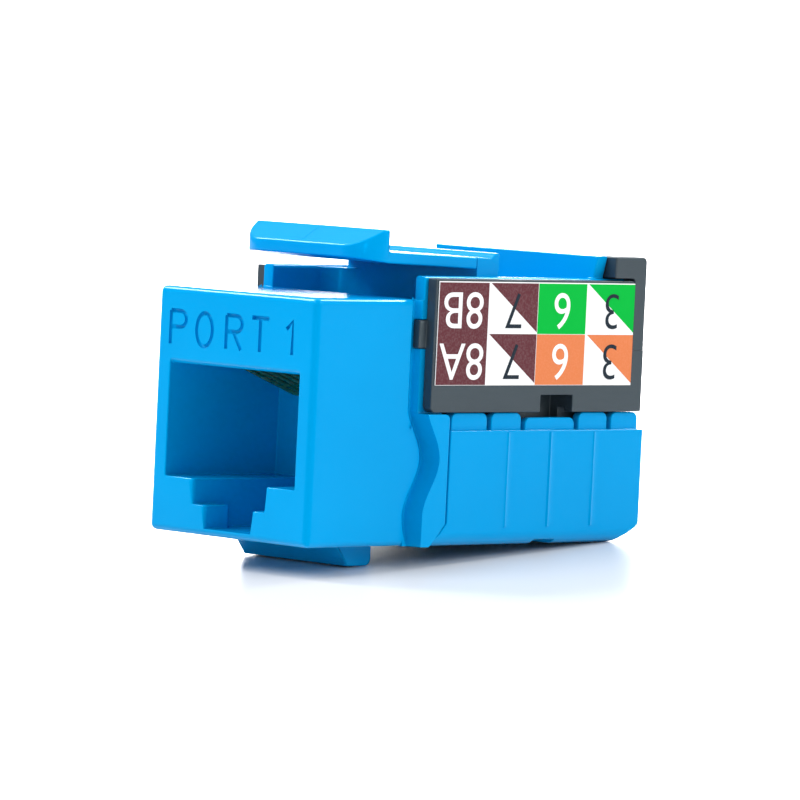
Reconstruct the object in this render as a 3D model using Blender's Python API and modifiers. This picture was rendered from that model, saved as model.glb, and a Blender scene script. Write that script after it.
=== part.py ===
"""Keystone network jack: a panel-mount modular socket with a punch-down wire block and a dust cap.

Everything is modelled in the jack's own frame, in millimetres: x across the face from the centre
line, y backwards from the front face, z up from the underside of the front block. An empty carries
that frame, so that the finished jack stands in the world with its origin under its middle.
"""
import math

import bmesh
import bpy
from mathutils import Matrix, Vector

MM = 0.001

# Driving dimensions, in millimetres.
FACE_WIDTH = 14.5
FACE_HEIGHT = 15.5
LENGTH = 28.65
HOUSING_END = 27.2
BODY_HALF = 8.2
BLOCK_END = 8.9
CORE_HALF = 6.6
FIT = 0.05

# Port for the plug.
PORT_HALF = 5.93
PORT_TOP = 10.66
PORT_DEPTH = 9.6
LEDGE = (3.51, 1.91, 0.45)
SLOT_HALF = (3.3, 2.15)
LEDGE_LENGTH = 2.1

# Shoulder that stops the jack at the panel, and the hook and latch that hold it there.
SHOULDER_END = 11.1
SHOULDER_TOP = 8.33
SHOULDER_CHAMFER = 1.4
WAVE_HEIGHTS = (1.9, 8.5)
WAVE_MIDDLE, WAVE_SWING = 9.45, 0.65
WAVE_CREST, WAVE_HALF_PERIOD = 5.5, 3.6
GROOVE_RADIUS = 0.6
GROOVE_X = 7.55
GROOVE_SHIFT = -0.35
HOOK_START, HOOK_END = 4.85, 7.95
HOOK_LEAN = 1.17
HOOK_DROP = 1.43
HOOK_HALF = 4.85
ARM_HALF = 5.9
HINGE_Y, HINGE_Z = 15.05, 17.74
TAB_FRONT = 5.07
TAB_TOP = 19.75
TAB_CORNER = 2.1

# Black insert, its towers, and the parts around it.
WALL_TOP = 16.95
WALL_OUT = 7.4
ROOF = (13.9, 15.0)
ROOT_END = 17.1
ROOT_TOP = 18.1
REAR_WALL_HALF = 7.2
REAR_WALL = (24.5, 25.4)
INSERT_START, INSERT_END = 9.5, 28.35
INSERT_BOTTOM, INSERT_TOP = 8.45, 16.85
INSERT_FLOOR = (8.7, 10.2)
INSERT_PARTING = 12.4
SNAP_START = 8.7
COVER_START = 25.45
COVER_TOP = 18.4
TOWER = ((3.5, 12.6, 1.9), (6.9, 27.3, 9.0))
WIRE_SLOTS = (14.7, 17.75, 22.6, 25.6)
FORK_X = 5.2
BOARD = ((-6.3, 11.8, 10.5), (6.3, 27.0, 11.7))

# Dust cap.
CAP_START = 11.2
RIM = 7.3
LIP_HALF = 7.9
CAP_INNER = 7.3
CAP_WALL = 0.9
TOOTH_TOP = 8.38
MIDDLE_TOOTH_TOP = 8.08

# Contact wires.
PITCH = 1.02
WIRE_RADIUS = 0.17
SPRING_START = (2.3, 11.25)
SPRING_END = (9.2, 8.68)
PIN_X = [(number - 3.5) * PITCH for number in range(8)]

# Labels on the insert's sides.
LABEL = ((9.62, 10.16), (27.2, 16.7))
LABEL_THICKNESS = 0.08

COLOURS = {
    "blue": ((0.0, 0.32, 0.75, 1.0), 0.35, 0.0),
    "black": ((0.03, 0.035, 0.045, 1.0), 0.5, 0.0),
    "gold": ((0.83, 0.6, 0.2, 1.0), 0.25, 1.0),
    "tin": ((0.7, 0.7, 0.7, 1.0), 0.35, 1.0),
    "board": ((0.02, 0.2, 0.08, 1.0), 0.5, 0.0),
    "label": ((0.85, 0.85, 0.85, 1.0), 0.4, 0.0),
}


def start_scene():
    """Empties the scene and returns the collections for the parts and for the cutting tools."""
    for obj in list(bpy.data.objects):
        bpy.data.objects.remove(obj, do_unlink=True)
    collections = []
    for name in ("keystone_jack", "cutters"):
        collection = bpy.data.collections.new(name)
        bpy.context.scene.collection.children.link(collection)
        collections.append(collection)
    return collections


PARTS, CUTTERS = start_scene()


def make_frame():
    """The jack's frame: its origin stands under the middle of the jack, level with the hook's tip."""
    frame = bpy.data.objects.new("jack_frame", None)
    frame.location = Vector((0.0, -LENGTH / 2, HOOK_DROP)) * MM
    PARTS.objects.link(frame)
    return frame


FRAME = make_frame()


def make_material(name, colour, roughness, metallic):
    material = bpy.data.materials.new(name)
    material.use_nodes = True
    shader = material.node_tree.nodes["Principled BSDF"]
    shader.inputs["Base Color"].default_value = colour
    shader.inputs["Roughness"].default_value = roughness
    shader.inputs["Metallic"].default_value = metallic
    return material


MATERIALS = {name: make_material(name, *finish) for name, finish in COLOURS.items()}


def add_object(name, mesh):
    """Puts a mesh into the scene as a tool; finish() turns it into a part."""
    obj = bpy.data.objects.new(name, mesh)
    CUTTERS.objects.link(obj)
    obj.parent = FRAME
    obj.hide_render = True
    obj.display_type = "WIRE"
    return obj


def box(name, low, high, rounding=0.0):
    """A box between two corners, in millimetres, with its edges rounded if asked."""
    form = bmesh.new()
    bmesh.ops.create_cube(form, size=1.0)
    size = [high[i] - low[i] for i in range(3)]
    centre = [(high[i] + low[i]) / 2 for i in range(3)]
    bmesh.ops.scale(form, vec=Vector(size) * MM, verts=form.verts)
    bmesh.ops.translate(form, vec=Vector(centre) * MM, verts=form.verts)
    mesh = bpy.data.meshes.new(name)
    form.to_mesh(mesh)
    form.free()
    obj = add_object(name, mesh)
    if rounding:
        soften(obj, rounding)
    return obj


def mirrored_box(name, low, high):
    """A box on the +x side and its twin on the other side, as two tools."""
    return [box(name + "_right", low, high),
            box(name + "_left", (-high[0], low[1], low[2]), (-low[0], high[1], high[2]))]


def soften(obj, width, segments=2):
    bevel = obj.modifiers.new("rounding", "BEVEL")
    bevel.width = width * MM
    bevel.segments = segments
    bevel.limit_method = "ANGLE"


def curve_to_mesh(curve, name, turn):
    """Turns a curve into a closed mesh object, turned into place."""
    source = bpy.data.objects.new(name + "_curve", curve)
    CUTTERS.objects.link(source)
    depsgraph = bpy.context.evaluated_depsgraph_get()
    mesh = bpy.data.meshes.new_from_object(source.evaluated_get(depsgraph))
    mesh.name = name
    bpy.data.objects.remove(source)
    form = bmesh.new()
    form.from_mesh(mesh)
    bmesh.ops.remove_doubles(form, verts=form.verts, dist=0.00001)
    bmesh.ops.transform(form, matrix=turn, verts=form.verts)
    form.to_mesh(mesh)
    form.free()
    return add_object(name, mesh)


def prism(name, outline, low, high, along):
    """A flat outline pushed along an axis: (y, z) points along x, or (x, y) points along z."""
    curve = bpy.data.curves.new(name, "CURVE")
    curve.dimensions = "2D"
    curve.fill_mode = "BOTH"
    curve.extrude = (high - low) / 2 * MM
    spline = curve.splines.new("POLY")
    spline.points.add(len(outline) - 1)
    for point, (u, v) in zip(spline.points, outline):
        point.co = (u * MM, v * MM, 0.0, 1.0)
    spline.use_cyclic_u = True
    middle = (high + low) / 2 * MM
    turn = {
        "x": Matrix(((0, 0, 1, middle), (1, 0, 0, 0), (0, 1, 0, 0), (0, 0, 0, 1))),
        "z": Matrix.Translation((0, 0, middle)),
    }[along]
    return curve_to_mesh(curve, name, turn)


def tube(name, points, radius, resolution=1):
    """A round bar through (x, y, z) points."""
    curve = bpy.data.curves.new(name, "CURVE")
    curve.dimensions = "3D"
    curve.bevel_depth = radius * MM
    curve.bevel_resolution = resolution
    curve.use_fill_caps = True
    spline = curve.splines.new("POLY")
    spline.points.add(len(points) - 1)
    for point, place in zip(spline.points, points):
        point.co = (place[0] * MM, place[1] * MM, place[2] * MM, 1.0)
    return curve_to_mesh(curve, name, Matrix.Identity(4))


def combine(target, tools, operation):
    """Adds the tools to the target, cuts them from it, or keeps what both fill."""
    for tool in tools if isinstance(tools, list) else [tools]:
        modifier = target.modifiers.new(operation.lower() + "_" + tool.name, "BOOLEAN")
        modifier.operation = operation
        modifier.solver = "EXACT"
        modifier.object = tool


def add(target, *tools):
    for tool in tools:
        combine(target, tool, "UNION")


def cut(target, *tools):
    for tool in tools:
        combine(target, tool, "DIFFERENCE")


def arc(centre, radius, start, end, steps):
    """Points along an arc, with its angles in degrees."""
    angles = [math.radians(start + (end - start) * step / steps) for step in range(steps + 1)]
    return [(centre[0] + radius * math.cos(a), centre[1] + radius * math.sin(a)) for a in angles]


def finish(obj, material, pivot=None):
    """Makes an object one of the jack's parts; a moving part gets its origin on its pivot."""
    CUTTERS.objects.unlink(obj)
    PARTS.objects.link(obj)
    obj.hide_render = False
    obj.display_type = "TEXTURED"
    obj.data.materials.clear()
    obj.data.materials.append(MATERIALS[material])
    obj.data.shade_smooth()
    obj.data.set_sharp_from_angle(angle=math.radians(35))
    if pivot:
        shift = Vector(pivot) * MM
        obj.data.transform(Matrix.Translation(-shift))
        obj.location = shift
    return obj


def wave(z):
    """How far back the shoulder's wavy front stands at height z; it is straight beyond the wave's ends."""
    low, high = WAVE_HEIGHTS
    phase = math.pi * (min(max(z, low), high) - WAVE_CREST) / WAVE_HALF_PERIOD
    return WAVE_MIDDLE + WAVE_SWING * math.cos(phase)


def side_grooves():
    """Round cutters along the foot of the wavy front, which run on upwards as a plain corner relief."""
    top = WAVE_HEIGHTS[1]
    heights = [-0.6 + (top + 0.6) * step / 17 for step in range(18)] + [FACE_HEIGHT + 1.0]
    tools = []
    for side, word in ((1, "right"), (-1, "left")):
        points = [(side * GROOVE_X, wave(z) + GROOVE_SHIFT, z) for z in heights]
        tools.append(tube("groove_" + word, points, GROOVE_RADIUS, 2))
    return tools


def hook_outline():
    """Side view of the fixed hook: a leaning front, a flat tip and a rounded heel."""
    heel = arc((HOOK_END - 0.45, 0.45 - HOOK_DROP), 0.45, -90, 0, 4)
    front = [(HOOK_START, 0.4), (HOOK_START, 0.0), (HOOK_START + HOOK_LEAN, -HOOK_DROP)]
    return front + heel + [(HOOK_END, 0.4)]


def make_housing():
    """Blue moulding: front block with the port, shoulder, side walls, roof, rear wall and latch root."""
    half = FACE_WIDTH / 2
    housing = box("front_housing", (-half, 0, 0), (half, BLOCK_END, FACE_HEIGHT), 0.45)
    front = [(wave(z), z) for z in [SHOULDER_TOP * step / 13 for step in range(14)]]
    cheek_side = [(BLOCK_END - 0.6, SHOULDER_TOP), (BLOCK_END - 0.6, 0)] + front
    shoulder_side = [(SHOULDER_END, SHOULDER_TOP), (SHOULDER_END, SHOULDER_CHAMFER),
                     (SHOULDER_END - SHOULDER_CHAMFER, 0)] + front
    add(housing, prism("cheek", cheek_side, -half, half, "x"),
        prism("shoulder", shoulder_side, -BODY_HALF, BODY_HALF, "x"))
    cut(housing, *side_grooves())
    add(housing,
        box("bulkhead", (-CORE_HALF, BLOCK_END - 0.7, 5.0), (CORE_HALF, SHOULDER_END, ROOF[1] - 0.01)),
        box("roof", (-CORE_HALF - 0.3, SHOULDER_END - 0.3, ROOF[0]), (CORE_HALF + 0.3, HOUSING_END, ROOF[1])),
        box("latch_root", (-ARM_HALF, HINGE_Y + 0.1, ROOF[0] + 0.5), (ARM_HALF, ROOT_END - 0.1, ROOT_TOP)),
        box("root_lip", (-ARM_HALF - 0.01, ROOT_END - 0.4, ROOF[0] + 0.3),
            (ARM_HALF + 0.01, ROOT_END, COVER_TOP), 0.1),
        box("rear_wall", (-REAR_WALL_HALF, REAR_WALL[0], ROOF[0] + 0.4),
            (REAR_WALL_HALF, REAR_WALL[1], COVER_TOP), 0.1),
        prism("hook", hook_outline(), -HOOK_HALF, HOOK_HALF, "x"))
    add(housing, *mirrored_box("front_wall", (CORE_HALF, 9.1, 7.4), (WALL_OUT, SHOULDER_END, WALL_TOP)))
    add(housing, *mirrored_box("side_wall", (CORE_HALF, SHOULDER_END - 0.3, INSERT_FLOOR[1] + FIT),
                               (WALL_OUT, HOUSING_END, WALL_TOP)))
    cut_port(housing)
    cut(housing,
        box("carrier_pocket", (-4.5, 1.5, 10.4), (4.5, 9.75, 13.4)),
        box("carrier_window", (-4.5, 9.0, 11.9), (4.5, 12.0, 13.4)))
    cut(housing, *mirrored_box("snap_window", (6.85, SNAP_START - 0.07, 12.38), (9.0, 9.6, 14.26)))
    return finish(housing, "blue")


def cut_port(housing):
    """The plug's cavity, and below it the stepped slot for the plug's own latch."""
    front = -1.0
    cut(housing,
        box("port_bore", (-PORT_HALF, front, LEDGE[0]), (PORT_HALF, PORT_DEPTH, PORT_TOP)),
        box("upper_slot", (-SLOT_HALF[0], front, LEDGE[1]), (SLOT_HALF[0], PORT_DEPTH, LEDGE[0] + 1)),
        box("lower_slot", (-SLOT_HALF[1], front, LEDGE[2]), (SLOT_HALF[1], 4.0, LEDGE[1] + 1)),
        box("slot_relief", (-SLOT_HALF[0], LEDGE_LENGTH, LEDGE[2]), (SLOT_HALF[0], 8.3, LEDGE[1] + 1)))


def make_latch():
    """The flexible latch: a ramped finger tab on a flat arm that bends at the latch root."""
    side = [(TAB_FRONT, 17.92), (TAB_FRONT, 18.68), (6.93, TAB_TOP), (7.35, TAB_TOP - 0.03),
            (7.35, 18.36), (HINGE_Y, HINGE_Z + 0.38), (HINGE_Y, HINGE_Z - 0.38), (7.4, 17.64)]
    latch = prism("keystone_latch", side, -ARM_HALF, ARM_HALF, "x")
    corner = arc((ARM_HALF - TAB_CORNER, TAB_FRONT + TAB_CORNER), TAB_CORNER, -90, 0, 8)
    plan = corner + [(ARM_HALF, 16.0), (-ARM_HALF, 16.0)] + [(-x, y) for x, y in reversed(corner)]
    combine(latch, prism("latch_plan", plan, 17.0, 20.5, "z"), "INTERSECT")
    return finish(latch, "blue", (0.0, HINGE_Y, HINGE_Z))


def make_carrier():
    """Black comb above the port, slotted for the contact wires."""
    carrier = box("contact_carrier", (-4.4, 1.6, 10.75), (4.4, 9.6, 13.3))
    for number, x in enumerate(PIN_X, 1):
        low, high = x - 0.3, x + 0.3
        cut(carrier,
            box("spring_slot_{}".format(number), (low, 1.85, 10.0), (high, 9.0, 11.75)),
            box("tail_slot_{}".format(number), (low, 1.85, 12.1), (high, 10.0, 14.0)),
            box("turn_slot_{}".format(number), (low, 1.85, 11.0), (high, 2.75, 13.0)))
    return finish(carrier, "black")


def make_contacts():
    """Eight contact wires, each a moving spring in the port and a fixed tail to the circuit board."""
    y0, z0 = SPRING_START
    y1, z1 = SPRING_END
    tail_z = 12.7
    board_top = BOARD[1][2] + FIT
    for number, x in enumerate(PIN_X, 1):
        spring = tube("contact_spring_{}".format(number),
                      [(x, y0, z0), (x, y1 - 0.7, z0 + (z1 - z0) * (y1 - 0.7 - y0) / (y1 - y0)),
                       (x, y1, z1 + 0.12)], WIRE_RADIUS)
        finish(spring, "gold", (x, y0, z0))
        tail = tube("contact_tail_{}".format(number),
                    [(x, y0, z0 + 0.28), (x, y0, tail_z - 0.25), (x, y0 + 0.25, tail_z),
                     (x, 12.35, tail_z), (x, 12.6, tail_z - 0.25), (x, 12.6, board_top)], WIRE_RADIUS)
        finish(tail, "gold")


def make_insert():
    """Black insert: a wall round three sides, a floor with two rows of punch-down towers below it."""
    plate_in = WALL_OUT + FIT
    rear = INSERT_END - 1.1
    right = [(rear, plate_in), (INSERT_START, plate_in), (INSERT_START, BODY_HALF), (INSERT_END, BODY_HALF)]
    wall = [(x, y) for y, x in right] + [(-x, y) for y, x in reversed(right)]
    insert = prism("idc_base", wall, INSERT_BOTTOM, INSERT_TOP, "z")
    cut(insert, box("cover_space", (-9.0, rear - FIT, INSERT_PARTING - FIT / 2), (9.0, 30.0, 18.0)))
    add(insert, box("floor", (-plate_in - 0.2, SHOULDER_END + FIT, INSERT_FLOOR[0]),
                    (plate_in + 0.2, INSERT_END - 0.4, INSERT_FLOOR[1])))
    for side, word in ((1, "right"), (-1, "left")):
        tongue = [(side * 6.92, SNAP_START), (side * 7.6, SNAP_START), (side * 7.6, 9.7),
                  (side * 7.46, 9.7), (side * 7.46, 9.55), (side * 6.92, 9.55)]
        add(insert, prism("snap_tongue_" + word, tongue, 12.43, 14.2, "z"))
    add(insert, *mirrored_box("tower_row", *TOWER))
    for number, y in enumerate(WIRE_SLOTS, 1):
        cut(insert, box("wire_slot_{}".format(number), (-7.2, y - 0.4, 1.0), (7.2, y + 0.4, 8.0)))
        cut(insert, *mirrored_box("blade_slot_{}".format(number),
                                  (FORK_X - 0.3, y - 1.05, 1.0), (FORK_X + 0.3, y + 1.05, 10.6)))
    cut(insert, *mirrored_box("pry_notch", (7.0, 19.1, 8.0), (9.0, 22.0, 9.54)))
    return finish(insert, "black")


def make_forks():
    """Eight insulation-displacement forks, four a side, standing in the towers."""
    for side in (1, -1):
        for place, y in enumerate(WIRE_SLOTS):
            half_outline = [(0.17, 7.6), (0.17, 3.2), (0.45, 2.6), (0.95, 2.6), (0.95, 9.5),
                            (0.25, 9.5), (0.25, BOARD[0][2] - FIT)]
            outline = [(y + u, z) for u, z in half_outline]
            outline += [(y - u, z) for u, z in reversed(half_outline)]
            number = place + (1 if side > 0 else 5)
            fork = prism("idc_contact_{}".format(number), outline,
                         side * FORK_X - 0.2, side * FORK_X + 0.2, "x")
            finish(fork, "tin")


def make_cover():
    """Black rear cover: a back wall above the insert's parting line, with a top that runs forward."""
    inside = HOUSING_END + FIT
    bottom = INSERT_PARTING + FIT / 2
    side = [(inside, bottom), (INSERT_END, bottom), (INSERT_END, COVER_TOP - 0.35),
            (INSERT_END - 0.35, COVER_TOP), (COVER_START, COVER_TOP),
            (COVER_START, WALL_TOP + FIT), (inside, WALL_TOP + FIT)]
    cover = prism("rear_cover", side, -BODY_HALF, BODY_HALF, "x")
    add(cover, box("cover_tongue", (-CORE_HALF + 0.1, COVER_START + FIT, ROOF[1] + FIT),
                   (CORE_HALF - 0.1, inside + 0.5, WALL_TOP + 0.3)))
    return finish(cover, "black")


def cap_outline():
    """Side view of the dust cap: a toe under the shoulder in front, a blunt slanted heel behind."""
    heel = [(LENGTH, 1.35), (LENGTH - 0.25, 0.8), (LENGTH - 1.6, 0.12), (LENGTH - 2.1, 0.0)]
    toe = [(SHOULDER_END - SHOULDER_CHAMFER + 0.15, 0.0), (CAP_START, SHOULDER_CHAMFER + 0.05)]
    return [(CAP_START, RIM), (LENGTH, RIM)] + heel + toe


def tooth_outline(start, end, top):
    """Side view of one tooth of the cap's lip, with rounded upper corners."""
    radius = 0.5
    return ([(start, RIM - 0.5), (end, RIM - 0.5)]
            + arc((end - radius, top - radius), radius, 0, 90, 3)
            + arc((start + radius, top - radius), radius, 90, 180, 3))


def make_cap():
    """Blue dust cap over the towers, with toothed lips between which the wires come out."""
    cap = prism("dust_cap", cap_outline(), -BODY_HALF, BODY_HALF, "x")
    starts = [11.5] + [y + 0.17 for y in WIRE_SLOTS]
    ends = [y - 0.17 for y in WIRE_SLOTS] + [LENGTH - 0.1]
    for number, (start, end) in enumerate(zip(starts, ends), 1):
        top = MIDDLE_TOOTH_TOP if number == 3 else TOOTH_TOP
        outline = tooth_outline(start, end, top)
        add(cap, prism("tooth_right_{}".format(number), outline, CAP_INNER - 0.2, LIP_HALF, "x"),
            prism("tooth_left_{}".format(number), outline, -LIP_HALF, -CAP_INNER + 0.2, "x"))
    cut(cap, box("cap_inside", (-CAP_INNER, CAP_START + CAP_WALL, CAP_WALL),
                 (CAP_INNER, LENGTH - CAP_WALL, TOOTH_TOP + 1)))
    return finish(cap, "blue", (0.0, (CAP_START + LENGTH) / 2, 0.0))


def make_labels():
    """Printed wiring labels on both sides of the insert."""
    low, high = LABEL
    inner = BODY_HALF + FIT / 2
    right = box("wiring_label_right", (inner, low[0], low[1]), (inner + LABEL_THICKNESS, high[0], high[1]))
    left = box("wiring_label_left", (-inner - LABEL_THICKNESS, low[0], low[1]), (-inner, high[0], high[1]))
    finish(right, "label")
    finish(left, "label")


def make_board():
    """Circuit board between the contact wires and the forks."""
    return finish(box("circuit_board", *BOARD), "board")


def main():
    make_housing()
    make_latch()
    make_carrier()
    make_contacts()
    make_insert()
    make_forks()
    make_board()
    make_cover()
    make_cap()
    make_labels()


main()
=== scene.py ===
"""Finished looks for the keystone network jack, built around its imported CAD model.

Shapes are made in the jack's own frame, in millimetres: x across the port from the centre line,
y backwards from the front face, z up from the underside of the front block. place() then turns
them into metres in the row frame and lets them ride on their body.
"""
import math

import bmesh
import bpy
from mathutils import Matrix, Vector


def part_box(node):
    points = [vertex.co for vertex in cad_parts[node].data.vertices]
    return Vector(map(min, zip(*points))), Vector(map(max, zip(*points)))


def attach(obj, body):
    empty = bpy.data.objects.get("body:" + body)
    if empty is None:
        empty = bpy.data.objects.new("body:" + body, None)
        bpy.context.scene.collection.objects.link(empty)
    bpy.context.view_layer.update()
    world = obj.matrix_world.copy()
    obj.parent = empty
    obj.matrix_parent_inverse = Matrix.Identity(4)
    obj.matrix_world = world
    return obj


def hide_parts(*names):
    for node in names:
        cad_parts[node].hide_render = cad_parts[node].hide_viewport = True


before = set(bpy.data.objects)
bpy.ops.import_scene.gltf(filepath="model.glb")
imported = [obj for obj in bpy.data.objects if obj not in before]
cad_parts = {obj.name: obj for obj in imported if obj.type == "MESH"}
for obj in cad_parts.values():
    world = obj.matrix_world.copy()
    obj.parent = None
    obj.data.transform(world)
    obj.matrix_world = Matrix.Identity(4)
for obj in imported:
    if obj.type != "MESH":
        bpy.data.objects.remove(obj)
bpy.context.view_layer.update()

MM = 0.001
ORIGIN = Vector((0.0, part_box("front_housing")[0].y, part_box("dust_cap")[0].z))


def corners(node):
    """Lowest and highest corner of a CAD node in the jack's own frame, in millimetres."""
    return [(corner - ORIGIN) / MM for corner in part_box(node)]


# Driving dimensions, in millimetres.
BLOCK_HALF = 7.25
BLOCK_TOP = 15.5
BLOCK_END = 8.9
BODY_HALF = corners("idc_base")[1].x
BODY_END = corners("dust_cap")[1].y
CORE_HALF = 6.6
WALL_HALF = 7.4
WALL_TOP = 16.95
ROOF = (13.9, 14.99)
SHOULDER_END = 11.1
SHOULDER_TOP = 8.33
CHAMFER = 1.4
HOOK_DROP = -corners("front_housing")[0].z
HOOK_REST_Y, HOOK_RADIUS = 7.6, 0.45
ARM_HALF = corners("keystone_latch")[1].x
HINGE_Y, HINGE_Z = 15.05, 17.74
ROOT_START = HINGE_Y + 0.07
PLATE_TOP = corners("idc_base")[1].z
PLATE_END = corners("idc_base")[1].y
PARTING, PARTING_GAP = 12.4, 0.006
COVER_TOP = corners("rear_cover")[1].z
RIM = 7.3
WIRE_SLOTS = (14.7, 17.75, 22.6, 25.6)
PITCH = 1.02
WIRE_RADIUS = 0.17
FORK_X = 5.2
SNAP_START = 8.7
PLATE_START = 9.3
SKY_LIGHT = 0.4
STUDIO_GLOW = 0.12


# ---- shape tools ----

def new_object(name, form):
    bmesh.ops.recalc_face_normals(form, faces=form.faces)
    mesh = bpy.data.meshes.new(name)
    form.to_mesh(mesh)
    form.free()
    obj = bpy.data.objects.new(name, mesh)
    bpy.context.scene.collection.objects.link(obj)
    return obj


def box(low, high, radius=0.0, segments=4):
    form = bmesh.new()
    bmesh.ops.create_cube(form, size=1.0)
    for vert in form.verts:
        for axis in range(3):
            vert.co[axis] = high[axis] if vert.co[axis] > 0 else low[axis]
    if radius:
        bmesh.ops.bevel(form, geom=form.edges[:], offset=radius, segments=segments,
                        profile=0.5, affect="EDGES", clamp_overlap=True)
    return new_object("box", form)


def mirrored_box(low, high):
    return [box(low, high), box((-high[0], low[1], low[2]), (-low[0], high[1], high[2]))]


def rounded(outline, steps=5):
    """A flat outline from (u, v, radius) corners, with each corner as an arc of its radius."""
    points = []
    for index, (u, v, radius) in enumerate(outline):
        here = Vector((u, v))
        if not radius:
            points.append(here)
            continue
        before = (Vector(outline[index - 1][:2]) - here).normalized()
        after = (Vector(outline[(index + 1) % len(outline)][:2]) - here).normalized()
        half = before.angle(after) / 2
        centre = here + (before + after).normalized() * radius / math.sin(half)
        first = here + before * radius / math.tan(half) - centre
        last = here + after * radius / math.tan(half) - centre
        start = math.atan2(first.y, first.x)
        sweep = (math.atan2(last.y, last.x) - start + math.pi) % math.tau - math.pi
        for step in range(steps + 1):
            angle = start + sweep * step / steps
            points.append(centre + Vector((math.cos(angle), math.sin(angle))) * radius)
    return points


def prism(outline, low, high, along):
    """A flat outline pushed along an axis: (y, z) points along x, (x, z) along y, (x, y) along z."""
    lift = {"x": lambda u, v, w: (w, u, v),
            "y": lambda u, v, w: (u, w, v),
            "z": lambda u, v, w: (u, v, w)}[along]
    form = bmesh.new()
    ends = [[form.verts.new(lift(u, v, w)) for u, v in outline] for w in (low, high)]
    form.faces.new(ends[0])
    form.faces.new(ends[1][::-1])
    for here, there in zip(range(-1, len(outline) - 1), range(len(outline))):
        form.faces.new((ends[0][there], ends[0][here], ends[1][here], ends[1][there]))
    return new_object("prism", form)


def tube(points, radius, sides=12, closed=False):
    """A round bar through points, with rounded ends unless it closes on itself."""
    curve = bpy.data.curves.new("tube", "CURVE")
    curve.dimensions = "3D"
    curve.bevel_depth = radius
    curve.bevel_resolution = sides // 4
    curve.use_fill_caps = not closed
    spline = curve.splines.new("POLY")
    spline.points.add(len(points) - 1)
    for point, place_at in zip(spline.points, points):
        point.co = (*place_at, 1.0)
    spline.use_cyclic_u = closed
    source = bpy.data.objects.new("tube", curve)
    bpy.context.scene.collection.objects.link(source)
    mesh = bpy.data.meshes.new_from_object(source.evaluated_get(bpy.context.evaluated_depsgraph_get()))
    bpy.data.objects.remove(source)
    form = bmesh.new()
    form.from_mesh(mesh)
    bmesh.ops.remove_doubles(form, verts=form.verts, dist=0.0001)
    return new_object("tube", form)


def smooth_path(points, radius, steps=5):
    """A 3-D path whose inner corners are arcs of the given radius."""
    path = [Vector(points[0])]
    for before, here, after in zip(points, points[1:], points[2:]):
        here = Vector(here)
        back = (Vector(before) - here).normalized()
        on = (Vector(after) - here).normalized()
        half = back.angle(on) / 2
        centre = here + (back + on).normalized() * radius / math.sin(half)
        first = (here + back * radius / math.tan(half) - centre).normalized()
        last = (here + on * radius / math.tan(half) - centre).normalized()
        path += [centre + first.slerp(last, step / steps) * radius for step in range(steps + 1)]
    path.append(Vector(points[-1]))
    return path


def bake(obj):
    """Applies an object's modifiers to its mesh."""
    mesh = bpy.data.meshes.new_from_object(obj.evaluated_get(bpy.context.evaluated_depsgraph_get()))
    obj.modifiers.clear()
    obj.data = mesh
    return obj


def combine(target, tools, operation):
    for tool in tools:
        modifier = target.modifiers.new("boolean", "BOOLEAN")
        modifier.operation = operation
        modifier.solver = "EXACT"
        modifier.object = tool
        bake(target)
        bpy.data.objects.remove(tool)
    return target


def add(target, *tools):
    return combine(target, tools, "UNION")


def cut(target, *tools):
    return combine(target, tools, "DIFFERENCE")


def keep_common(target, *tools):
    return combine(target, tools, "INTERSECT")


def merge_flat(obj, angle=0.6):
    """Joins the flat faces that the unions left split."""
    form = bmesh.new()
    form.from_mesh(obj.data)
    bmesh.ops.remove_doubles(form, verts=form.verts, dist=0.0005)
    bmesh.ops.dissolve_limit(form, angle_limit=math.radians(angle), verts=form.verts, edges=form.edges)
    form.to_mesh(obj.data)
    form.free()
    return obj


def round_where(obj, chosen, width, segments=4):
    """Rounds the edges for which chosen(middle, direction) is true."""
    form = bmesh.new()
    form.from_mesh(obj.data)
    edges = []
    for edge in form.edges:
        ends = [vert.co for vert in edge.verts]
        if edge.is_manifold and edge.calc_face_angle() > 0.6:
            if chosen((ends[0] + ends[1]) / 2, (ends[1] - ends[0]).normalized()):
                edges.append(edge)
    bmesh.ops.bevel(form, geom=edges, offset=width, segments=segments, profile=0.5,
                    affect="EDGES", clamp_overlap=True)
    form.to_mesh(obj.data)
    form.free()
    return obj


def round_edges(obj, width, segments=2, angle=40, spare=None):
    """Breaks every sharp edge with a small rounding, except where spare(middle) is true."""
    merge_flat(obj)
    form = bmesh.new()
    form.from_mesh(obj.data)
    edges = []
    for edge in form.edges:
        if edge.is_manifold and edge.calc_face_angle() > math.radians(angle):
            if not (spare and spare((edge.verts[0].co + edge.verts[1].co) / 2)):
                edges.append(edge)
    bmesh.ops.bevel(form, geom=edges, offset=width, segments=segments, profile=0.5, affect="EDGES",
                    clamp_overlap=False, miter_outer="ARC")
    bmesh.ops.recalc_face_normals(form, faces=form.faces)
    form.to_mesh(obj.data)
    form.free()
    return obj


def join_meshes(objects):
    """Several shapes as one object, each still a closed body."""
    form = bmesh.new()
    for obj in objects:
        form.from_mesh(obj.data)
        bpy.data.objects.remove(obj)
    return new_object("group", form)


def place(obj, name, material, body, nodes=()):
    """Names a finished shape, moves it into the row frame, and lets it ride on its body."""
    obj.name = name
    obj.data.name = name
    obj.data.transform(Matrix.Translation(ORIGIN) @ Matrix.Scale(MM, 4))
    obj.data.materials.clear()
    obj.data.materials.append(material)
    obj.data.shade_smooth()
    obj.data.set_sharp_from_angle(angle=math.radians(50))
    weighted = obj.modifiers.new("flat_faces", "WEIGHTED_NORMAL")
    weighted.keep_sharp = True
    weighted.weight = 100
    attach(obj, body)
    if nodes:
        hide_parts(*nodes)
    return obj


# ---- materials ----

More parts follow.
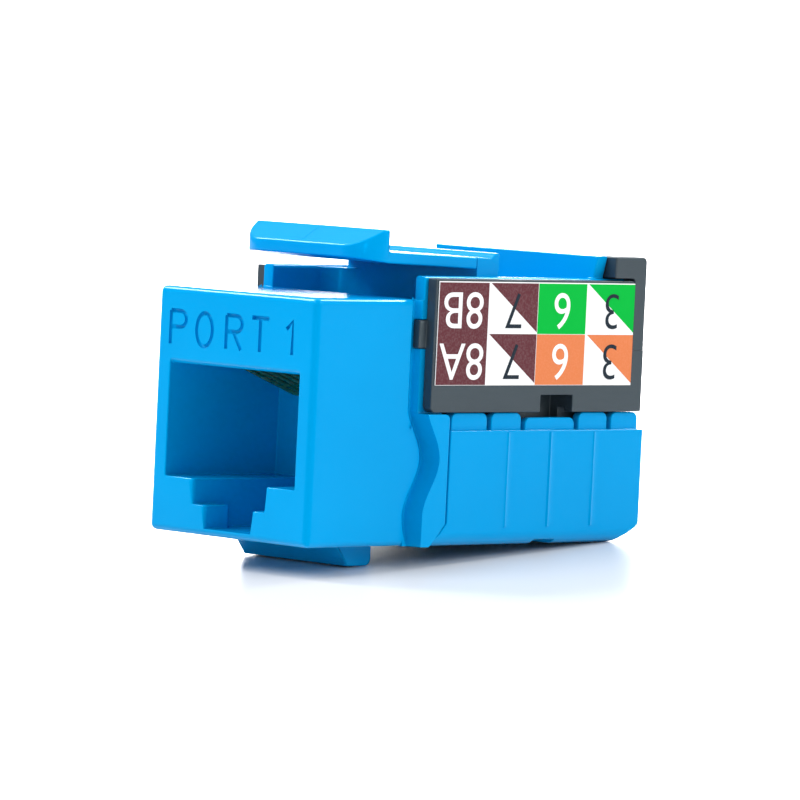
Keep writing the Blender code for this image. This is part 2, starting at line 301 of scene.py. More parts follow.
def node_material(name, **values):
    """A material and its shader, with the values that are the same all over."""
    material = bpy.data.materials.new(name)
    material.use_nodes = True
    shader = material.node_tree.nodes["Principled BSDF"]
    for socket, value in values.items():
        shader.inputs[socket.replace("_", " ")].default_value = value
    return material, shader


def noise(tree, feature_mm, detail=3.0, stretch=(1, 1, 1)):
    """A noise texture in the piece's own coordinates, with features of about that size."""
    coordinates = tree.nodes.new("ShaderNodeTexCoord")
    mapping = tree.nodes.new("ShaderNodeMapping")
    mapping.inputs["Scale"].default_value = stretch
    texture = tree.nodes.new("ShaderNodeTexNoise")
    texture.inputs["Scale"].default_value = 1 / (feature_mm * MM)
    texture.inputs["Detail"].default_value = detail
    tree.links.new(coordinates.outputs["Object"], mapping.inputs["Vector"])
    tree.links.new(mapping.outputs["Vector"], texture.inputs["Vector"])
    return texture.outputs["Fac"]


def ramp(tree, source, stops):
    """Colours along a value from 0 to 1."""
    node = tree.nodes.new("ShaderNodeValToRGB")
    elements = node.color_ramp.elements
    for element, (position, colour) in zip(elements, (stops[0], stops[-1])):
        element.position = position
        element.color = colour
    for position, colour in stops[1:-1]:
        elements.new(position).color = colour
    tree.links.new(source, node.inputs["Fac"])
    return node.outputs["Color"]


def spread(tree, source, low, high):
    """A noise value turned into a range of values."""
    node = tree.nodes.new("ShaderNodeMapRange")
    node.inputs["From Min"].default_value = 0.3
    node.inputs["From Max"].default_value = 0.7
    node.inputs["To Min"].default_value = low
    node.inputs["To Max"].default_value = high
    tree.links.new(source, node.inputs["Value"])
    return node.outputs["Result"]


def bump(tree, shader, layers):
    """Stacks height layers, each (source, depth in millimetres, strength), into the shader's normal."""
    normal = None
    for source, depth, strength in layers:
        node = tree.nodes.new("ShaderNodeBump")
        node.inputs["Distance"].default_value = depth * MM
        node.inputs["Strength"].default_value = strength
        tree.links.new(source, node.inputs["Height"])
        if normal:
            tree.links.new(normal, node.inputs["Normal"])
        normal = node.outputs["Normal"]
    tree.links.new(normal, shader.inputs["Normal"])


def plastic(name, light, dark, roughness, grain=0.004, scratches=0.004, **values):
    """Moulded plastic: slow flow tints, a fine mould grain, and faint handling scratches."""
    material, shader = node_material(name, **values)
    tree = material.node_tree
    flow = noise(tree, 6.0, 2.0, (1, 0.45, 1))
    tree.links.new(ramp(tree, flow, [(0.35, (*dark, 1)), (0.65, (*light, 1))]), shader.inputs["Base Color"])
    scuffs = noise(tree, 0.9, 6.0, (1, 0.25, 2.2))
    tree.links.new(spread(tree, scuffs, *roughness), shader.inputs["Roughness"])
    bump(tree, shader, [(noise(tree, 0.09, 4.0), grain, 0.5),
                        (noise(tree, 0.5, 5.0, (1, 0.12, 1.7)), scratches, 0.35),
                        (noise(tree, 5.0, 1.0), 0.012, 0.3)])
    return material


def metal(name, light, dark, roughness):
    """Drawn or stamped metal, with streaks along its length and a tarnished tint."""
    material, shader = node_material(name, Metallic=1.0)
    tree = material.node_tree
    streaks = noise(tree, 0.12, 4.0, (1, 0.08, 1))
    cloud = noise(tree, 1.2, 3.0)
    tree.links.new(ramp(tree, cloud, [(0.3, (*dark, 1)), (0.7, (*light, 1))]), shader.inputs["Base Color"])
    tree.links.new(spread(tree, streaks, *roughness), shader.inputs["Roughness"])
    bump(tree, shader, [(streaks, 0.003, 0.5)])
    return material


def print_ink(name, colour, speckle):
    """Ink on a paper label: an even colour with the fine dots of its printing."""
    material, shader = node_material(name, Specular_IOR_Level=0.06)
    tree = material.node_tree
    dots = noise(tree, 0.13, 2.0)
    other = tuple(min(1.0, c + speckle) for c in colour)
    tree.links.new(ramp(tree, dots, [(0.42, (*colour, 1)), (0.68, (*other, 1))]),
                   shader.inputs["Base Color"])
    tree.links.new(spread(tree, noise(tree, 0.6, 3.0), 0.38, 0.52), shader.inputs["Roughness"])
    bump(tree, shader, [(noise(tree, 0.16, 3.0), 0.003, 0.4)])
    return material


BLUE = plastic("blue_plastic", (0.0, 0.315, 0.69), (0.0, 0.302, 0.67), (0.15, 0.2), 0.0012, 0.0006,
               Specular_IOR_Level=0.25, Specular_Tint=(0.0, 0.5, 1.0, 1.0))
BLACK = plastic("black_plastic", (0.020, 0.032, 0.044), (0.015, 0.025, 0.036), (0.38, 0.48), 0.008,
                Specular_IOR_Level=0.8, Specular_Tint=(0.8, 0.95, 1.0, 1.0))
GOLD = metal("gold_contact", (0.80, 0.56, 0.22), (0.62, 0.41, 0.15), (0.24, 0.38))
TIN = metal("tin_contact", (0.78, 0.78, 0.77), (0.62, 0.62, 0.62), (0.28, 0.42))
BOARD = plastic("circuit_board", (0.012, 0.20, 0.08), (0.008, 0.15, 0.06), (0.3, 0.42), 0.006)
PAPER = print_ink("label_paper", (0.84, 0.85, 0.86), 0.03)
INKS = {
    "brown": print_ink("ink_brown", (0.115, 0.032, 0.040), 0.035),
    "green": print_ink("ink_green", (0.0, 0.43, 0.046), 0.0),
    "orange": print_ink("ink_orange", (0.68, 0.20, 0.075), 0.015),
    "blue": print_ink("ink_blue", (0.015, 0.10, 0.46), 0.02),
    "dark": print_ink("ink_dark", (0.016, 0.026, 0.038), 0.008),
}


# ---- blue housing ----

GROOVE_DEPTH = 0.4
GROOVE_FRONT, GROOVE_LOWEST, GROOVE_REAR = -0.78, -0.15, 0.2
GROOVE_FADE = 0.77
WAVE_LOW, WAVE_TOP = 1.9, 8.5
WAVE_MIDDLE, WAVE_SWING = 9.45, 0.65
WAVE_CREST, WAVE_HALF_PERIOD = 5.5, 3.6


def wave(z):
    """How far back the shoulder's wavy front stands at height z."""
    height = min(max(z, WAVE_LOW), WAVE_TOP)
    return WAVE_MIDDLE + WAVE_SWING * math.cos(math.pi * (height - WAVE_CREST) / WAVE_HALF_PERIOD)


def groove_profile(z, front_steps=14, rear_steps=10):
    """The groove's floor at height z as (x, y) points: a soft fall, then a steep rise up the shoulder."""
    fade = 1 - GROOVE_FADE * (1 - max(0.0, min(z, WAVE_LOW)) / WAVE_LOW) ** 2
    lowest = BLOCK_HALF - GROOVE_DEPTH * fade
    points = []
    for step in range(front_steps):
        share = 1 - step / front_steps
        across = GROOVE_LOWEST + (GROOVE_FRONT - GROOVE_LOWEST) * share
        soft = share * share * (3 - 2 * share)
        points.append((lowest + (BLOCK_HALF + 0.03 - lowest) * soft, wave(z) + across * fade))
    for step in range(rear_steps + 1):
        share = step / rear_steps
        across = GROOVE_LOWEST * fade + (GROOVE_REAR - GROOVE_LOWEST * fade) * share
        points.append((lowest + (BODY_HALF + 0.05 - lowest) * share ** 1.8, wave(z) + across))
    return points


def groove_cutter(side):
    """The space over one side's groove, as a cutter whose underside is the groove's floor."""
    bottom, steps, outside = -0.6, 44, 9.5
    heights = [bottom + (WAVE_TOP - bottom) * step / steps for step in range(steps + 1)]
    heights.append(BLOCK_TOP + 1)
    profiles = [groove_profile(z) for z in heights]
    form = bmesh.new()
    floor = [[form.verts.new((side * x, y, z)) for x, y in profile]
             for z, profile in zip(heights, profiles)]
    top = [[form.verts.new((side * outside, y, z)) for _, y in profile]
           for z, profile in zip(heights, profiles)]
    columns = range(len(profiles[0]) - 1)
    for layer in (floor, top):
        for low, high in zip(layer, layer[1:]):
            for left in columns:
                form.faces.new((low[left], low[left + 1], high[left + 1], high[left]))
    for row in (0, -1):
        for left in columns:
            form.faces.new((floor[row][left], floor[row][left + 1], top[row][left + 1], top[row][left]))
    for column in (0, -1):
        for low in range(len(heights) - 1):
            form.faces.new((floor[low][column], floor[low + 1][column],
                            top[low + 1][column], top[low][column]))
    return new_object("groove", form)


STROKE_DEPTH, STROKE_RADIUS = 0.09, 0.17


def stroke_shapes(strokes, left, width, base, height):
    """Round cutters along the strokes of one character, given in a unit square."""
    shapes = []
    for points, closed in strokes:
        path = [(left + u * width, STROKE_DEPTH, base + v * height) for u, v in points]
        shapes.append(tube(path, STROKE_RADIUS, 12, closed))
    return shapes


def half_turn(centre, radius_u, radius_v, start, end, steps=10):
    angles = [math.radians(start + (end - start) * step / steps) for step in range(steps + 1)]
    return [(centre[0] + radius_u * math.cos(a), centre[1] + radius_v * math.sin(a)) for a in angles]


def port_number():
    """Cutters for the words PORT 1, recessed above the port in round-ended strokes."""
    bowl = [(0.06, 1.0)] + half_turn((0.62, 0.76), 0.36, 0.24, 90, -90) + [(0.06, 0.52)]
    letters = [
        [([(0.06, 0.0), (0.06, 1.0)], False), (bowl, False)],
        [(half_turn((0.5, 0.5), 0.47, 0.5, 0, 345, 23), True)],
        [([(0.06, 0.0), (0.06, 1.0)], False), (bowl, False), ([(0.5, 0.5), (0.95, 0.0)], False)],
        [([(0.0, 1.0), (1.0, 1.0)], False), ([(0.5, 1.0), (0.5, 0.0)], False)],
        [([(0.2, 0.74), (0.55, 1.0), (0.55, 0.0)], False)],
    ]
    starts = (-6.1, -3.65, -0.95, 1.45, 4.3)
    width, base, height = 1.55, 11.85, 2.1
    shapes = []
    for strokes, left in zip(letters, starts):
        shapes += stroke_shapes(strokes, left, width, base, height)
    return shapes


def wave_corners(top, steps, behind):
    """Corners along the wavy front, from the underside up."""
    return [(wave(top * step / steps) + behind, top * step / steps, 0) for step in range(steps + 1)]


def make_block():
    """Front block with its rounded edges, the shoulder behind it, and the wavy grooves between them."""
    block = box((-BLOCK_HALF, 0, 0), (BLOCK_HALF, BLOCK_END, BLOCK_TOP), 0.43, 5)
    cheek = rounded([(BLOCK_END - 0.6, SHOULDER_TOP - 0.02, 0), (BLOCK_END - 0.6, 0, 0)]
                    + wave_corners(SHOULDER_TOP - 0.02, 27, 0.1))
    shoulder = rounded([(SHOULDER_END, SHOULDER_TOP, 0.35), (SHOULDER_END, CHAMFER, 0.2),
                        (SHOULDER_END - CHAMFER, 0.0, 0.1)] + wave_corners(SHOULDER_TOP, 30, 0))
    add(block, prism(cheek, -BLOCK_HALF, BLOCK_HALF, "x"), prism(shoulder, -BODY_HALF, BODY_HALF, "x"),
        *mirrored_box((CORE_HALF - 0.1, 8.5, 7.4), (WALL_HALF, SHOULDER_END - 0.05, BLOCK_TOP - 0.04)))
    return cut(block, groove_cutter(1), groove_cutter(-1))


def stays_sharp(middle):
    """True along the groove, which is soft already, on the lettering, at the face where the latch
    meets its root, and where the slot nears the edge."""
    in_groove = abs(middle.x) > 6.65 and 7.9 < middle.y < 10.6 and middle.z < BLOCK_TOP - 0.1
    in_letter = middle.y < 0.4 and 11.5 < middle.z < 14.3
    at_hinge = abs(middle.y - ROOT_START) < 0.02 and middle.z > 17.0
    at_slot = middle.y < 0.5 and middle.z < 1.0
    return in_groove or in_letter or at_hinge or at_slot


def upper_wall(side):
    """The part of a side wall that stands above the roof, with rounded top corners."""
    outline = rounded([(side * (CORE_HALF - 0.1), 14.8, 0), (side * WALL_HALF, 14.8, 0),
                       (side * WALL_HALF, WALL_TOP, 0.25), (side * (CORE_HALF - 0.1), WALL_TOP, 0.25)])
    return prism(outline, 9.1, 27.2, "y")


def inner_fillet(side):
    """Hollow corner between a side wall and the front of the latch's root."""
    radius, face, front = 2.4, CORE_HALF - 0.06, ROOT_START + 0.04
    arc = half_turn((face - radius, front - radius), radius, radius, 0, 90)
    plan = [(side * x, y) for x, y in arc + [(face - radius, front + 0.2), (face + 0.2, front + 0.2),
                                             (face + 0.2, front - radius)]]
    return prism(plan, ROOF[1] - 0.3, 16.8, "z")


def make_housing():
    """Blue housing: block, roof, side walls, rear wall, latch root and hook, with the port cut in."""
    housing = make_block()
    hook = rounded([(4.95, 0.5, 0), (4.95, -0.05, 0.1), (6.03, -HOOK_DROP, 0.12),
                    (8.05, -HOOK_DROP, HOOK_RADIUS), (8.05, 0.5, 0)])
    root = rounded([(ROOT_START, 14.7, 0), (ROOT_START, 18.12, 0), (16.45, 18.1, 0.3),
                    (16.75, COVER_TOP, 0), (17.1, COVER_TOP, 0), (17.1, 14.7, 0)])
    rear_wall = [(-7.05, 14.6), (7.05, 14.6), (7.05, 16.8),
                 (7.45, COVER_TOP), (-7.45, COVER_TOP), (-7.05, 16.8)]
    add(housing,
        box((-CORE_HALF, BLOCK_END - 0.7, 5.0), (CORE_HALF, SHOULDER_END, ROOF[1] - 0.01)),
        box((-CORE_HALF - 0.3, SHOULDER_END - 0.3, ROOF[0]), (CORE_HALF + 0.3, 27.2, ROOF[1])),
        prism(root, -ARM_HALF, ARM_HALF, "x"),
        prism(rear_wall, 24.5, 25.4, "y"),
        prism(hook, -4.75, 4.75, "x"),
        *[upper_wall(side) for side in (1, -1)],
        *mirrored_box((CORE_HALF - 0.05, SHOULDER_END - 0.6, 10.26), (WALL_HALF - 0.03, 27.0, 15.2)),
        *[inner_fillet(side) for side in (1, -1)])
    cut_port(housing)
    cut(housing,
        box((-4.5, 1.5, 10.4), (4.5, 9.75, 13.4)),
        box((-4.5, 9.0, 11.9), (4.5, 12.0, 13.4)),
        *mirrored_box((6.85, SNAP_START - 0.07, 12.38), (9.0, 9.6, 14.26)))
    cut(housing, *port_number())
    round_edges(housing, 0.09, spare=stays_sharp)
    place(housing, "jack_housing", BLUE, "jack", ["front_housing"])


def cut_port(housing):
    """The plug's cavity with its bevelled lip, and below it the stepped slot for the plug's latch."""
    half, low, top, depth = 5.93, 3.51, 10.66, 9.6
    slots = ((3.3, 1.91), (2.15, 0.45))
    lip = [(-0.2, top - 0.1), (-0.2, top + 0.45), (0.35, top - 0.1)]
    cut(housing,
        box((-half, -1, low), (half, depth, top)),
        prism(lip, -half, half, "x"),
        box((-slots[0][0], -1, slots[0][1]), (slots[0][0], depth, low + 1)),
        box((-slots[1][0], -1, slots[1][1]), (slots[1][0], 4.0, slots[0][1] + 1)),
        box((-slots[0][0], 2.1, slots[1][1]), (slots[0][0], 8.3, slots[0][1] + 1)))
    merge_flat(housing)

    def front_corner(middle, direction):
        upright = abs(direction.z) > 0.9 and middle.y < 0.1 and low - 3.2 < middle.z < low
        return upright and min(abs(abs(middle.x) - half_width) for half_width, _ in slots) < 0.05
    round_where(housing, front_corner, 0.3)


def make_latch():
    """The flexible latch: a ramped finger tab with rounded corners on a thin arm."""
    side = rounded([(5.07, 17.92, 0), (5.07, 18.68, 0), (6.93, 19.75, 0), (7.35, 19.72, 0),
                    (7.35, 18.36, 0.2), (HINGE_Y, HINGE_Z + 0.38, 0), (HINGE_Y, HINGE_Z - 0.38, 0),
                    (7.4, 17.64, 0)])

    def at_hinge(middle):
        return middle.y > HINGE_Y - 0.01
    latch = prism(side, -ARM_HALF, ARM_HALF, "x")
    plan = rounded([(ARM_HALF, 16.0, 0), (-ARM_HALF, 16.0, 0), (-ARM_HALF, 5.07, 2.2),
                    (ARM_HALF, 5.07, 2.2)], 14)
    keep_common(latch, prism(plan, 17.0, 20.5, "z"))
    round_edges(latch, 0.12, 3, spare=at_hinge)
    parting = [(5.3, 18.75), (6.7, 19.55), (6.7, 19.63), (5.3, 18.83)]
    latch = join_meshes([latch, prism(parting, -0.03, 0.03, "x")])
    place(latch, "latch_arm", BLUE, "latch", ["keystone_latch"])


# ---- contacts, board and forks ----

def make_carrier():
    """Black comb above the port, slotted for the contact wires."""
    carrier = box((-4.4, 1.6, 10.75), (4.4, 9.6, 13.3))
    for number in range(8):
        x = (number - 3.5) * PITCH
        low, high = x - 0.3, x + 0.3
        cut(carrier,
            box((low, 1.85, 10.0), (high, 9.0, 11.75)),
            box((low, 1.85, 12.1), (high, 10.0, 14.0)),
            box((low, 1.85, 11.0), (high, 2.75, 13.0)))
    round_edges(carrier, 0.04)
    place(carrier, "contact_comb", BLACK, "jack", ["contact_carrier"])


def make_contacts():
    """Eight gold-plated wires: each a spring in the port and a fixed tail to the circuit board."""
    for number in range(1, 9):
        x = (number - 4.5) * PITCH
        spring = tube(smooth_path([(x, 2.3, 11.25), (x, 8.5, 8.94), (x, 9.2, 8.8)], 0.5), WIRE_RADIUS, 16)
        round_edges(spring, 0.06, 2, 60)
        place(spring, f"spring_wire_{number}", GOLD, f"spring_{number}", [f"contact_spring_{number}"])
        tail = tube(smooth_path([(x, 2.3, 11.53), (x, 2.3, 12.7), (x, 12.6, 12.7), (x, 12.6, 11.75)], 0.35),
                    WIRE_RADIUS, 16)
        round_edges(tail, 0.06, 2, 60)
        place(tail, f"tail_wire_{number}", GOLD, "jack", [f"contact_tail_{number}"])


def make_forks():
    """Eight tin-plated insulation-displacement forks, with bevelled lead-ins."""
    for side in (1, -1):
        for index, y in enumerate(WIRE_SLOTS):
            half = [(0.17, 7.6), (0.17, 3.25), (0.42, 2.6), (0.95, 2.6),
                    (0.95, 9.5), (0.25, 9.5), (0.25, 10.45)]
            outline = [(y + u, z) for u, z in half] + [(y - u, z) for u, z in reversed(half)]
            fork = prism(outline, side * FORK_X - 0.2, side * FORK_X + 0.2, "x")
            round_edges(fork, 0.035)
            number = index + (1 if side > 0 else 5)
            place(fork, f"fork_{number}", TIN, "jack", [f"idc_contact_{number}"])


def make_board():
    """Circuit board with rounded corners."""
    low, high = corners("circuit_board")
    plan = rounded([(high.x, low.y, 0.5), (high.x, high.y, 0.5), (low.x, high.y, 0.5), (low.x, low.y, 0.5)])
    board = prism(plan, low.z, high.z - 0.02, "z")
    round_edges(board, 0.05)
    place(board, "circuit_board_finished", BOARD, "jack", ["circuit_board"])


# ---- black insert and cover ----

def at_parting(middle):
    """True on the flat faces where the cover sits on the insert, which keep sharp edges."""
    return abs(middle.z - PARTING) < 0.02


def make_insert():
    """Black insert: side plates and back wall, two snap tongues, and two rows of slotted towers."""
    plate_in = WALL_HALF + 0.05
    rear = PLATE_END - 1.1
    right = [(rear, plate_in), (PLATE_START, plate_in), (PLATE_START, BODY_HALF), (PLATE_END, BODY_HALF)]
    wall = [(x, y) for y, x in right] + [(-x, y) for y, x in reversed(right)]
    insert = prism(wall, 8.45, PLATE_TOP, "z")
    start = PLATE_START - 0.01
    side_view = rounded([(start, 8.44, 0.45), (30.0, 8.44, 0), (30.0, 18.0, 0), (start, 18.0, 0)])
    keep_common(insert, prism(side_view, -9.0, 9.0, "x"))
    cut(insert, box((-9.0, rear - 0.05, PARTING - PARTING_GAP), (9.0, 30.0, 18.0)))
    add(insert, box((-plate_in - 0.2, SHOULDER_END + 0.05, 8.7), (plate_in + 0.2, PLATE_END - 0.4, 10.2)))
    for side in (1, -1):
        tongue = [(side * 6.92, SNAP_START), (side * 7.5, SNAP_START), (side * 7.5, 9.7),
                  (side * 7.46, 9.7), (side * 7.46, 9.55), (side * 6.92, 9.55)]
        add(insert, prism(tongue, 12.43, 14.2, "z"))
    add(insert, *mirrored_box((3.5, 12.6, 1.9), (6.9, 27.3, 9.0)))
    for y in WIRE_SLOTS:
        mouth = [(y - 0.4, 8.0), (y - 0.4, 2.9), (y - 0.85, 1.0),
                 (y + 0.85, 1.0), (y + 0.4, 2.9), (y + 0.4, 8.0)]
        cut(insert, prism(mouth, -7.2, 7.2, "x"))
        cut(insert, *mirrored_box((FORK_X - 0.3, y - 1.05, 1.0), (FORK_X + 0.3, y + 1.05, 10.6)))
    cut(insert, *mirrored_box((6.2, 19.1, 8.0), (9.0, 22.0, 9.54)))
    round_edges(insert, 0.07, spare=at_parting)
    place(insert, "insert_body", BLACK, "jack", ["idc_base"])


def make_cover():
    """Black rear cover: a back wall whose top runs forward over the side walls."""
    bottom = PARTING + PARTING_GAP
    side = rounded([(27.25, bottom, 0), (PLATE_END, bottom, 0), (PLATE_END, COVER_TOP, 0.35),
                    (25.45, COVER_TOP, 0), (25.45, WALL_TOP + 0.05, 0), (27.25, WALL_TOP + 0.05, 0)])
    cover = prism(side, -BODY_HALF, BODY_HALF, "x")
    add(cover, box((-6.4, 25.5, ROOF[1] + 0.05), (6.4, 27.7, WALL_TOP + 0.3)))
    round_edges(cover, 0.12, 3, spare=at_parting)
    place(cover, "rear_cover_finished", BLACK, "jack", ["rear_cover"])


# ---- dust cap ----

HEEL_RUN, HEEL_RISE, HEEL_RADIUS = 2.0, 1.1, 0.5
TOOTH_TOP, LOW_TOOTH_TOP = 8.4, 8.08


def tooth(start, end, top):
    return rounded([(start, RIM - 0.5, 0), (end, RIM - 0.5, 0), (end, top, 0.45), (start, top, 0.45)])


def rib(y, side):
    """Low upright rib on the cap's side: a steep front, and a hollow slope behind that fades out."""
    crest = ((-0.12, -0.1), (-0.12, 0.0), (0.0, 0.09), (0.12, 0.045), (0.3, 0.018),
             (0.65, -0.002), (0.65, -0.1))
    return prism([(side * (BODY_HALF + out), y + along) for along, out in crest], 1.15, RIM - 0.12, "z")


def make_cap():
    """Blue dust cap: rounded below, a thin rim, and toothed lips between which the wires come out."""
    side = rounded([(11.2, RIM, 0), (BODY_END, RIM, 0), (BODY_END, HEEL_RISE, HEEL_RADIUS),
                    (BODY_END - HEEL_RUN, 0, HEEL_RADIUS), (SHOULDER_END - CHAMFER + 0.15, 0, 0),
                    (11.2, CHAMFER + 0.05, 0)], 8)
    cap = prism(side, -BODY_HALF, BODY_HALF, "x")
    front = rounded([(BODY_HALF, RIM + 1, 0), (-BODY_HALF, RIM + 1, 0), (-BODY_HALF, 0, 0.9),
                     (BODY_HALF, 0, 0.9)], 8)
    keep_common(cap, prism(front, 8.0, 30.0, "y"))
    starts = [11.5] + [y + 0.35 for y in WIRE_SLOTS]
    ends = [y - 0.03 for y in WIRE_SLOTS] + [BODY_END - 0.25]
    for index, (start, end) in enumerate(zip(starts, ends)):
        outline = tooth(start, end, LOW_TOOTH_TOP if index == 2 else TOOTH_TOP)
        add(cap, prism(outline, 7.1, 7.9, "x"), prism(outline, -7.9, -7.1, "x"))
    cut(cap, box((-7.3, 12.1, 0.9), (7.3, BODY_END - 0.9, 9.4)),
        box((-1.5, 19.3, -0.5), (9.0, 21.2, 0.3)))
    round_edges(cap, 0.07)
    add(cap, *[rib(y, side) for y in (16.3, 20.15, 24.1) for side in (1, -1)])
    place(cap, "dust_cap_finished", BLUE, "cap", ["dust_cap"])


# ---- printed labels ----

LABEL_LOW, LABEL_HIGH = corners("wiring_label_right")
PAPER_THICKNESS, PRINT_LIFT, LETTER_LIFT = 0.055, 0.064, 0.07
LETTER_HEIGHT, LETTER_STRETCH = 2.39, 1.04
THIN_STROKE, FULL_STROKE = -0.032, -0.006
SCHEMES = {
    1: (("8", "7", "6", "3"), ("brown", "brown", "green", "green"), ("brown", "brown", "orange", "orange")),
    -1: (("4", "5", "2", "1"), ("blue", "blue", "orange", "orange"), ("blue", "blue", "green", "green")),
}


def character(text, side, centre, height, lift, width, weight):
    """Flat lettering on the label's face, upside down so that it reads from the cap's side."""
    curve = bpy.data.curves.new("character", "FONT")
    curve.body = text
    curve.size = height / 0.72
    curve.align_x = "CENTER"
    curve.align_y = "CENTER"
    curve.extrude = 0.004
    curve.offset = weight
    curve.resolution_u = 6
    source = bpy.data.objects.new("character", curve)
    bpy.context.scene.collection.objects.link(source)
    mesh = bpy.data.meshes.new_from_object(source.evaluated_get(bpy.context.evaluated_depsgraph_get()))
    bpy.data.objects.remove(source)
    form = bmesh.new()
    form.from_mesh(mesh)
    bmesh.ops.remove_doubles(form, verts=form.verts, dist=0.0001)
    turn = Matrix(((0, 0, side, side * lift), (-side * width, 0, 0, centre[0]),
                   (0, -1, 0, centre[1]), (0, 0, 0, 1)))
    bmesh.ops.transform(form, matrix=turn, verts=form.verts)
    return new_object("character", form)


def patch(points, side, lift):
    """A flat printed area, from (y, z) points, on the label's face."""
    near, far = sorted((side * (lift - 0.006), side * lift))
    return prism(points, near, far, "x")


def make_label(side):
    word = "right" if side > 0 else "left"
    low, high = LABEL_LOW - Vector((0, 0.12, 0)), LABEL_HIGH
    base = low.x
    paper = prism([(low.y, low.z), (high.y, low.z), (high.y, high.z), (low.y, high.z)],
                  *sorted((side * base, side * (base + PAPER_THICKNESS))), "x")
    round_edges(paper, 0.012, 2)
    place(paper, f"label_paper_{word}", PAPER, "jack", [f"wiring_label_{word}"])
    numbers, upper, lower = SCHEMES[side]
    column = (high.y - low.y) / len(numbers)
    edge, top_edge, seam = 0.03, 0.07, 0.03
    middle_z = (low.z + edge + high.z - top_edge) / 2
    prints = {ink: [] for ink in ("brown", "green", "orange", "blue", "dark", "white")}
    for row_index, (inks, letter) in enumerate(((lower, "A"), (upper, "B"))):
        for place_in_row, (number, ink) in enumerate(zip(numbers, inks)):
            y0, y1 = low.y + column * place_in_row + edge, low.y + column * (place_in_row + 1) - edge / 2
            gap = seam / 2 if lower[place_in_row] != upper[place_in_row] else -0.001
            z0, z1 = ((low.z + edge, middle_z - gap), (middle_z + gap, high.z - top_edge))[row_index]
            striped = place_in_row % 2 == 1
            if striped:
                area = [(y0 + 0.12, z1), (y1, z0 + 0.12), (y1, z1)]
            else:
                area = [(y0, z0), (y1, z0), (y1, z1), (y0, z1)]
            prints[ink].append(patch(area, side, base + PRINT_LIFT))
            text = number + (letter if place_in_row == 0 else "")
            middle = ((y0 + y1) / 2 + (0.1 if striped else 0), (z0 + z1) / 2)
            prints["dark" if striped else "white"].append(
                character(text, side, middle, LETTER_HEIGHT, base + LETTER_LIFT, LETTER_STRETCH,
                          THIN_STROKE if striped else FULL_STROKE))
    for ink, shapes in prints.items():
        if shapes:
            place(join_meshes(shapes), f"print_{ink}_{word}", INKS.get(ink, PAPER), "jack")


# ---- stage ----

def make_camera():
    """The camera, from the jack's right front corner and a little above it."""
    azimuth, elevation, roll = math.radians(45.54), math.radians(3.025), math.radians(2.73)
    distance, right_shift, up_shift = 420.0, 3.30, 0.82
    look = Vector((-math.sin(azimuth) * math.cos(elevation), math.cos(azimuth) * math.cos(elevation),
                   -math.sin(elevation)))
    right = Vector((math.cos(azimuth), math.sin(azimuth), 0))
    up = right.cross(look)
    position = Vector((0, 10, 8)) - look * distance + right * right_shift + up * up_shift
    level = right * math.cos(roll) + up * math.sin(roll)
    upright = up * math.cos(roll) - right * math.sin(roll)
    data = bpy.data.cameras.new("camera")
    data.lens = 297.75
    data.sensor_width = 36.0
    data.clip_start, data.clip_end = 0.01, 10.0
    camera = bpy.data.objects.new("camera", data)
    axes = Matrix((level, upright, -look)).transposed().to_4x4()
    camera.matrix_world = Matrix.Translation(ORIGIN + position * MM) @ axes
    bpy.context.scene.collection.objects.link(camera)
    bpy.context.scene.camera = camera


def floor_tilt():
    """The jack rests on its hook and on the cap's heel: the angle of the floor that touches both."""
    hook_z = HOOK_RADIUS - HOOK_DROP
    half = (math.pi - math.atan2(HEEL_RISE, HEEL_RUN)) / 2
    heel_y = BODY_END - HEEL_RUN - HEEL_RADIUS / math.tan(half)
    along, up = heel_y - HOOK_REST_Y, HEEL_RADIUS - hook_z
    return math.atan2(up, along) - math.asin((HEEL_RADIUS - HOOK_RADIUS) / math.hypot(along, up))


def make_floor():
    tilt = floor_tilt()
    touch = Vector((0, HOOK_REST_Y + HOOK_RADIUS * math.sin(tilt),
                    HOOK_RADIUS - HOOK_DROP - HOOK_RADIUS * math.cos(tilt)))
    form = bmesh.new()
    bmesh.ops.create_grid(form, x_segments=1, y_segments=1, size=3.0)
    floor = new_object("floor", form)
    floor.matrix_world = Matrix.Translation(ORIGIN + touch * MM) @ Matrix.Rotation(tilt, 4, "X")
    material, shader = node_material("floor_paint", Roughness=0.3)
    tree = material.node_tree
    tint = ramp(tree, noise(tree, 40.0, 2.0), [(0.3, (0.71, 0.71, 0.71, 1)), (0.7, (0.73, 0.73, 0.73, 1))])
    tree.links.new(tint, shader.inputs["Base Color"])
    floor.data.materials.append(material)
    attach(floor, "cap")


def soft_light(name, direction, spread_degrees, strength):
    """A distant light from a direction, as wide across as spread_degrees."""
    data = bpy.data.lights.new(name, "SUN")
    data.angle = math.radians(spread_degrees)
    data.energy = strength
    light = bpy.data.objects.new(name, data)
    light.rotation_mode = "QUATERNION"
    light.rotation_quaternion = Vector(direction).to_track_quat("Z", "Y")
    bpy.context.scene.collection.objects.link(light)


def math_node(tree, operation, first, second):
    """A math node on two values, each a socket or a number."""
    node = tree.nodes.new("ShaderNodeMath")
    node.operation = operation
    for socket, value in zip(node.inputs, (first, second)):
        if isinstance(value, (int, float)):
            socket.default_value = value
        else:
            tree.links.new(value, socket)
    return node.outputs["Value"]


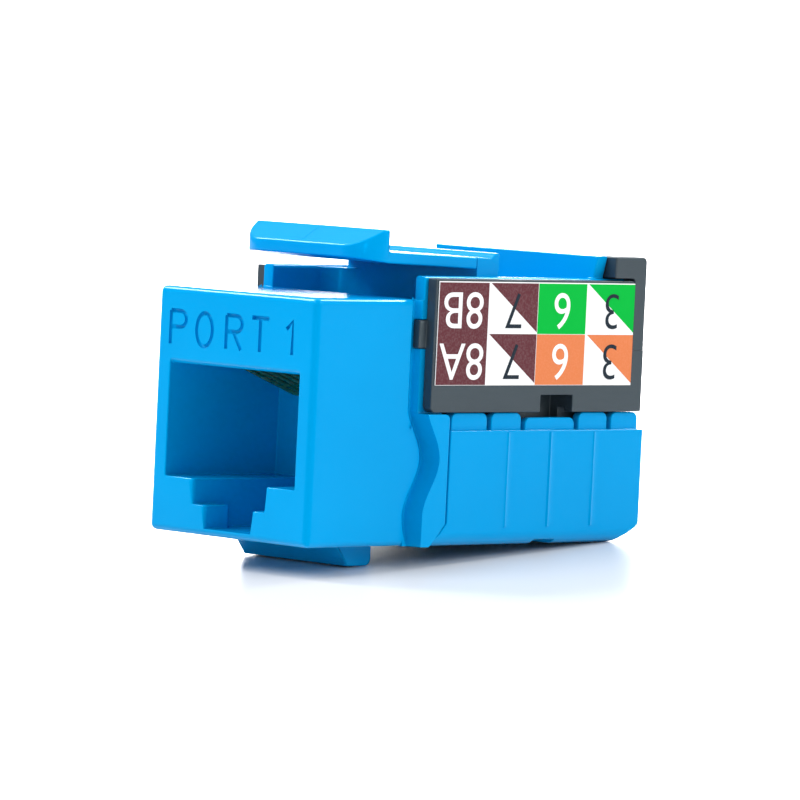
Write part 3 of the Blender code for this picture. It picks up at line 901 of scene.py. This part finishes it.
def make_world():
    """A white backdrop: reflections see it behind the jack and dim studio elsewhere."""
    world = bpy.data.worlds.new("studio")
    world.use_nodes = True
    tree = world.node_tree
    direction = tree.nodes.new("ShaderNodeTexCoord")
    toward = tree.nodes.new("ShaderNodeVectorMath")
    toward.operation = "DOT_PRODUCT"
    toward.inputs[1].default_value = (-0.71, 0.70, 0.05)
    tree.links.new(direction.outputs["Generated"], toward.inputs[0])
    seen = tree.nodes.new("ShaderNodeMapRange")
    seen.inputs["From Min"].default_value, seen.inputs["From Max"].default_value = 0.82, 0.95
    seen.inputs["To Min"].default_value, seen.inputs["To Max"].default_value = STUDIO_GLOW, 1.0
    tree.links.new(toward.outputs["Value"], seen.inputs["Value"])
    path = tree.nodes.new("ShaderNodeLightPath")
    glossy = math_node(tree, "MULTIPLY", path.outputs["Is Glossy Ray"], seen.outputs["Result"])
    diffuse = math_node(tree, "MULTIPLY", path.outputs["Is Diffuse Ray"], SKY_LIGHT)
    strength = math_node(tree, "ADD", math_node(tree, "ADD", glossy, diffuse), path.outputs["Is Camera Ray"])
    background = tree.nodes["Background"]
    background.inputs["Color"].default_value = (1, 1, 1, 1)
    tree.links.new(strength, background.inputs["Strength"])
    bpy.context.scene.world = world
    bpy.context.scene.view_settings.view_transform = "Standard"


def make_light():
    """Wide overhead, front and side lights, a glint from the camera's side, and three rim lights."""
    make_world()
    soft_light("overhead", (-0.1, -0.1, 1.0), 100, 0.7)
    soft_light("front_fill", (-0.3, -0.7, 0.75), 40, 1.9)
    soft_light("side_fill", (0.75, 0.35, 0.5), 40, 1.65)
    soft_light("glint", (0.70, -0.71, 0.06), 5, 0.3)
    soft_light("left_rim", (-0.71, -0.17, 0.67), 13, 1.7)
    soft_light("right_rim", (0.06, 0.70, 0.72), 12, 1.4)
    soft_light("back_rim", (-0.70, 0.70, 0.16), 16, 0.6)


make_camera()
make_housing()
make_latch()
make_carrier()
make_contacts()
make_forks()
make_board()
make_insert()
make_cover()
make_cap()
make_label(1)
make_label(-1)
make_floor()
make_light()
